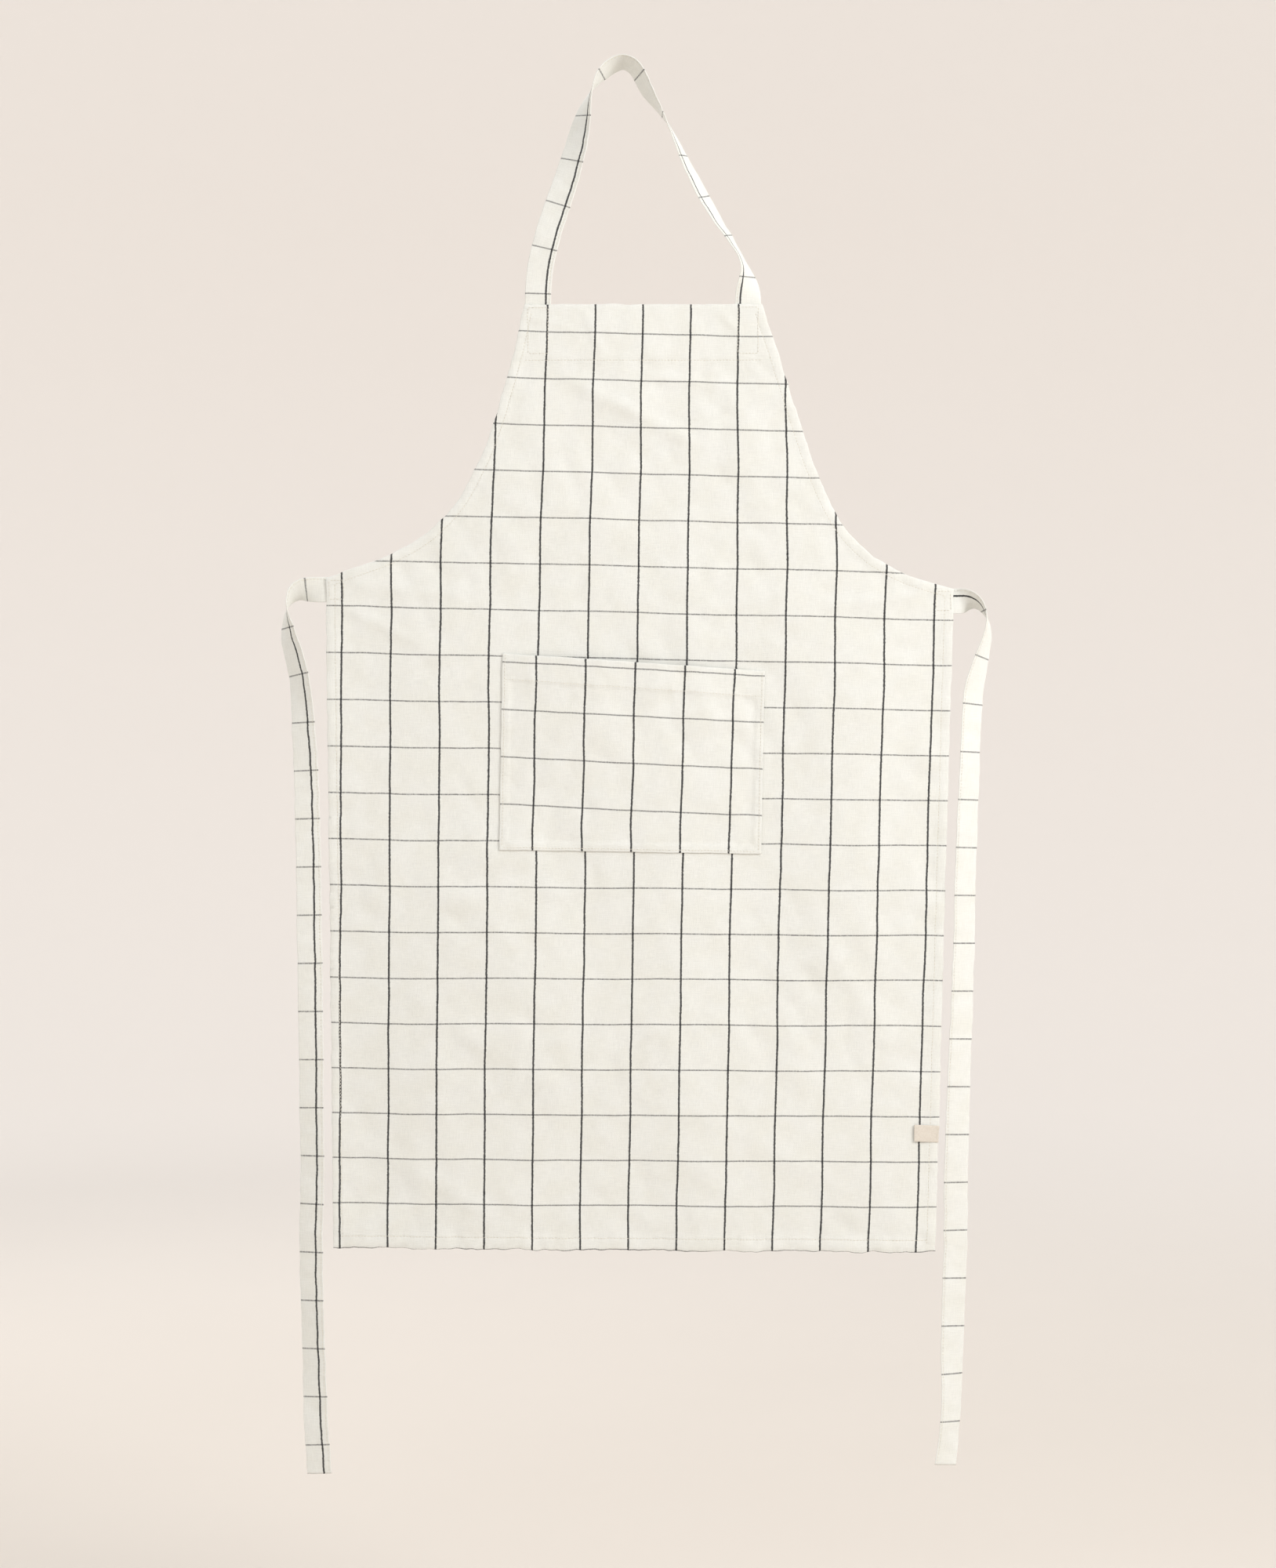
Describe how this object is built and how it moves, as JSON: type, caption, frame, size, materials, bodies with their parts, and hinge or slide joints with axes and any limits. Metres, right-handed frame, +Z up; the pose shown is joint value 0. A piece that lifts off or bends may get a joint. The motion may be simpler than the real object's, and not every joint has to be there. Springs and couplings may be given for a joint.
{
  "type": "bib apron",
  "caption": "Checked linen-look bib apron hanging by its neck loop, with a front patch pocket, long waist ties and a blank side label.",
  "frame": {"origin": "the point on the underside of the neck loop where a hook's arm carries it", "axes": "+Z up, the apron's front faces -Y, +X to the right of someone facing the front"},
  "size_m": [0.6835, 0.0251, 1.357],
  "materials": {
    "cloth": "washed plain weave with thin dark warp lines and thinner grey weft lines in an open check",
    "thread": "spun sewing thread",
    "label_cloth": "fine woven tape, blank"
  },
  "bodies": {
    "neck_strap": {"neck_strap": "cloth", "neck_strap_stitching": "thread"},
    "apron": {"apron_panel": "cloth", "pocket": "cloth", "strap_end_left": "cloth", "strap_end_right": "cloth", "tie_end_left": "cloth", "tie_end_right": "cloth", "bib_hem_stitching": "thread", "armhole_stitching_left": "thread", "armhole_stitching_right": "thread", "side_stitching_left": "thread", "side_stitching_right": "thread", "bottom_hem_stitching": "thread", "pocket_hem_stitching": "thread", "pocket_edge_stitching": "thread", "strap_end_stitching_left": "thread", "strap_end_stitching_right": "thread", "tie_end_stitching_left": "thread", "tie_end_stitching_right": "thread", "label_stitching": "thread", "label_end": "label_cloth"},
    "waist_tie_left": {"waist_tie_left": "cloth", "waist_tie_stitching_left": "thread"},
    "waist_tie_right": {"waist_tie_right": "cloth", "waist_tie_stitching_right": "thread"},
    "label": {"label": "label_cloth"}
  },
  "joints": [
    {"name": "bib_swing", "type": "hinge", "parent": "neck_strap", "child": "apron", "pos_m": [0.0175, 0, -0.23], "axis": [1, 0, 0], "range_deg": [-75, 75]},
    {"name": "waist_tie_left_swing", "type": "hinge", "parent": "apron", "child": "waist_tie_left", "pos_m": [-0.288, 0.00175, -0.504], "axis": [1, 0, 0], "range_deg": [-90, 90]},
    {"name": "waist_tie_right_swing", "type": "hinge", "parent": "apron", "child": "waist_tie_right", "pos_m": [0.317, 0.00175, -0.515], "axis": [1, 0, 0], "range_deg": [-90, 90]},
    {"name": "label_flip", "type": "hinge", "parent": "apron", "child": "label", "pos_m": [0.2976, -0.0016, -1.0245], "axis": [0, 0, 1], "range_deg": [0, 170]}
  ]
}
